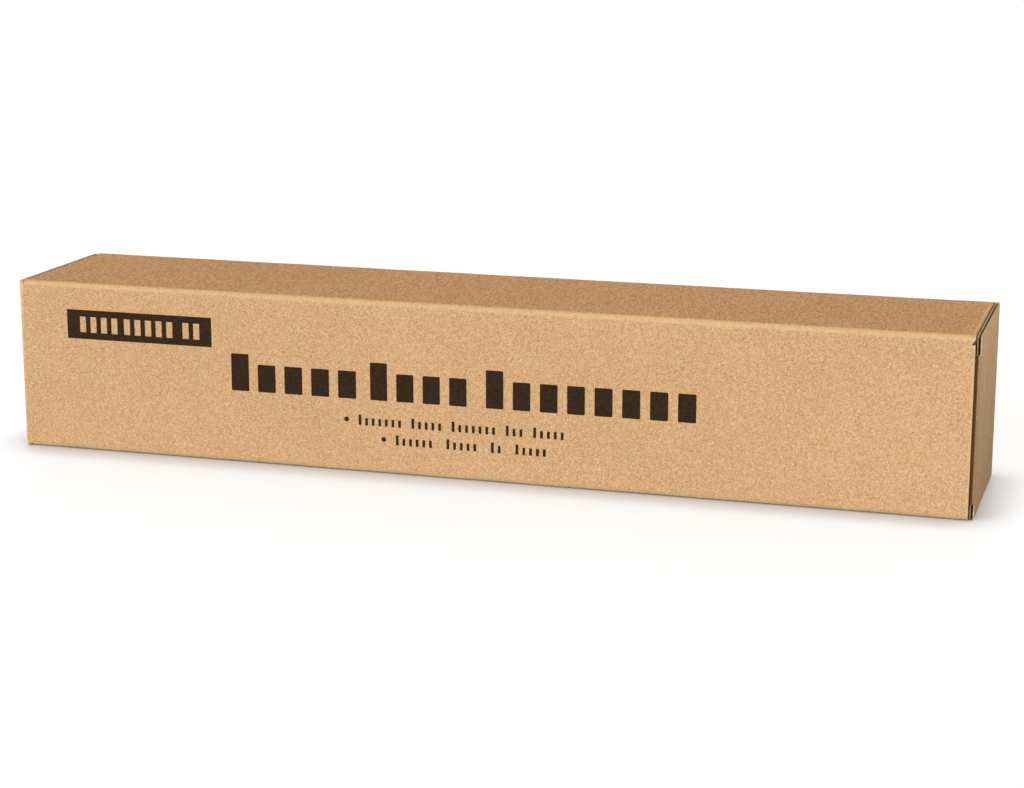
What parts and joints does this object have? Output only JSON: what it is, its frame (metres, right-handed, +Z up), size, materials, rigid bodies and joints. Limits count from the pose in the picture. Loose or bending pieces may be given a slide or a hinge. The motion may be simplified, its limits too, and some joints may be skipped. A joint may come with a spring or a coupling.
{
  "type": "tuck-end carton with rolled wall calendar",
  "caption": "Long square reverse tuck-end mailing carton of brown corrugated board, with dust flaps, hinged end closures and a rolled wall calendar inside.",
  "frame": {"origin": "middle of the carton's footprint, on the surface it rests on", "axes": "+X along the carton, +Y from the front panel to the back panel, +Z up. The right closure hinges on the back panel and the left one on the front panel"},
  "size_m": [0.407, 0.073, 0.073],
  "materials": {
    "kraft_board": "uncoated brown kraft",
    "calendar_paper": "uncoated white"
  },
  "bodies": {
    "carton": {"carton_body": "kraft_board", "rolled_calendar": "calendar_paper"},
    "right_closure": {"right_end_flap": "kraft_board"},
    "left_closure": {"left_end_flap": "kraft_board"}
  },
  "joints": [
    {"name": "right_closure_hinge", "type": "hinge", "parent": "carton", "child": "right_closure", "pos_m": [0.20355, 0.0365, 0.0365], "axis": [0, 0, 1], "range_deg": [0, 180]},
    {"name": "left_closure_hinge", "type": "hinge", "parent": "carton", "child": "left_closure", "pos_m": [-0.20355, -0.0365, 0.0365], "axis": [0, 0, 1], "range_deg": [0, 180]}
  ]
}
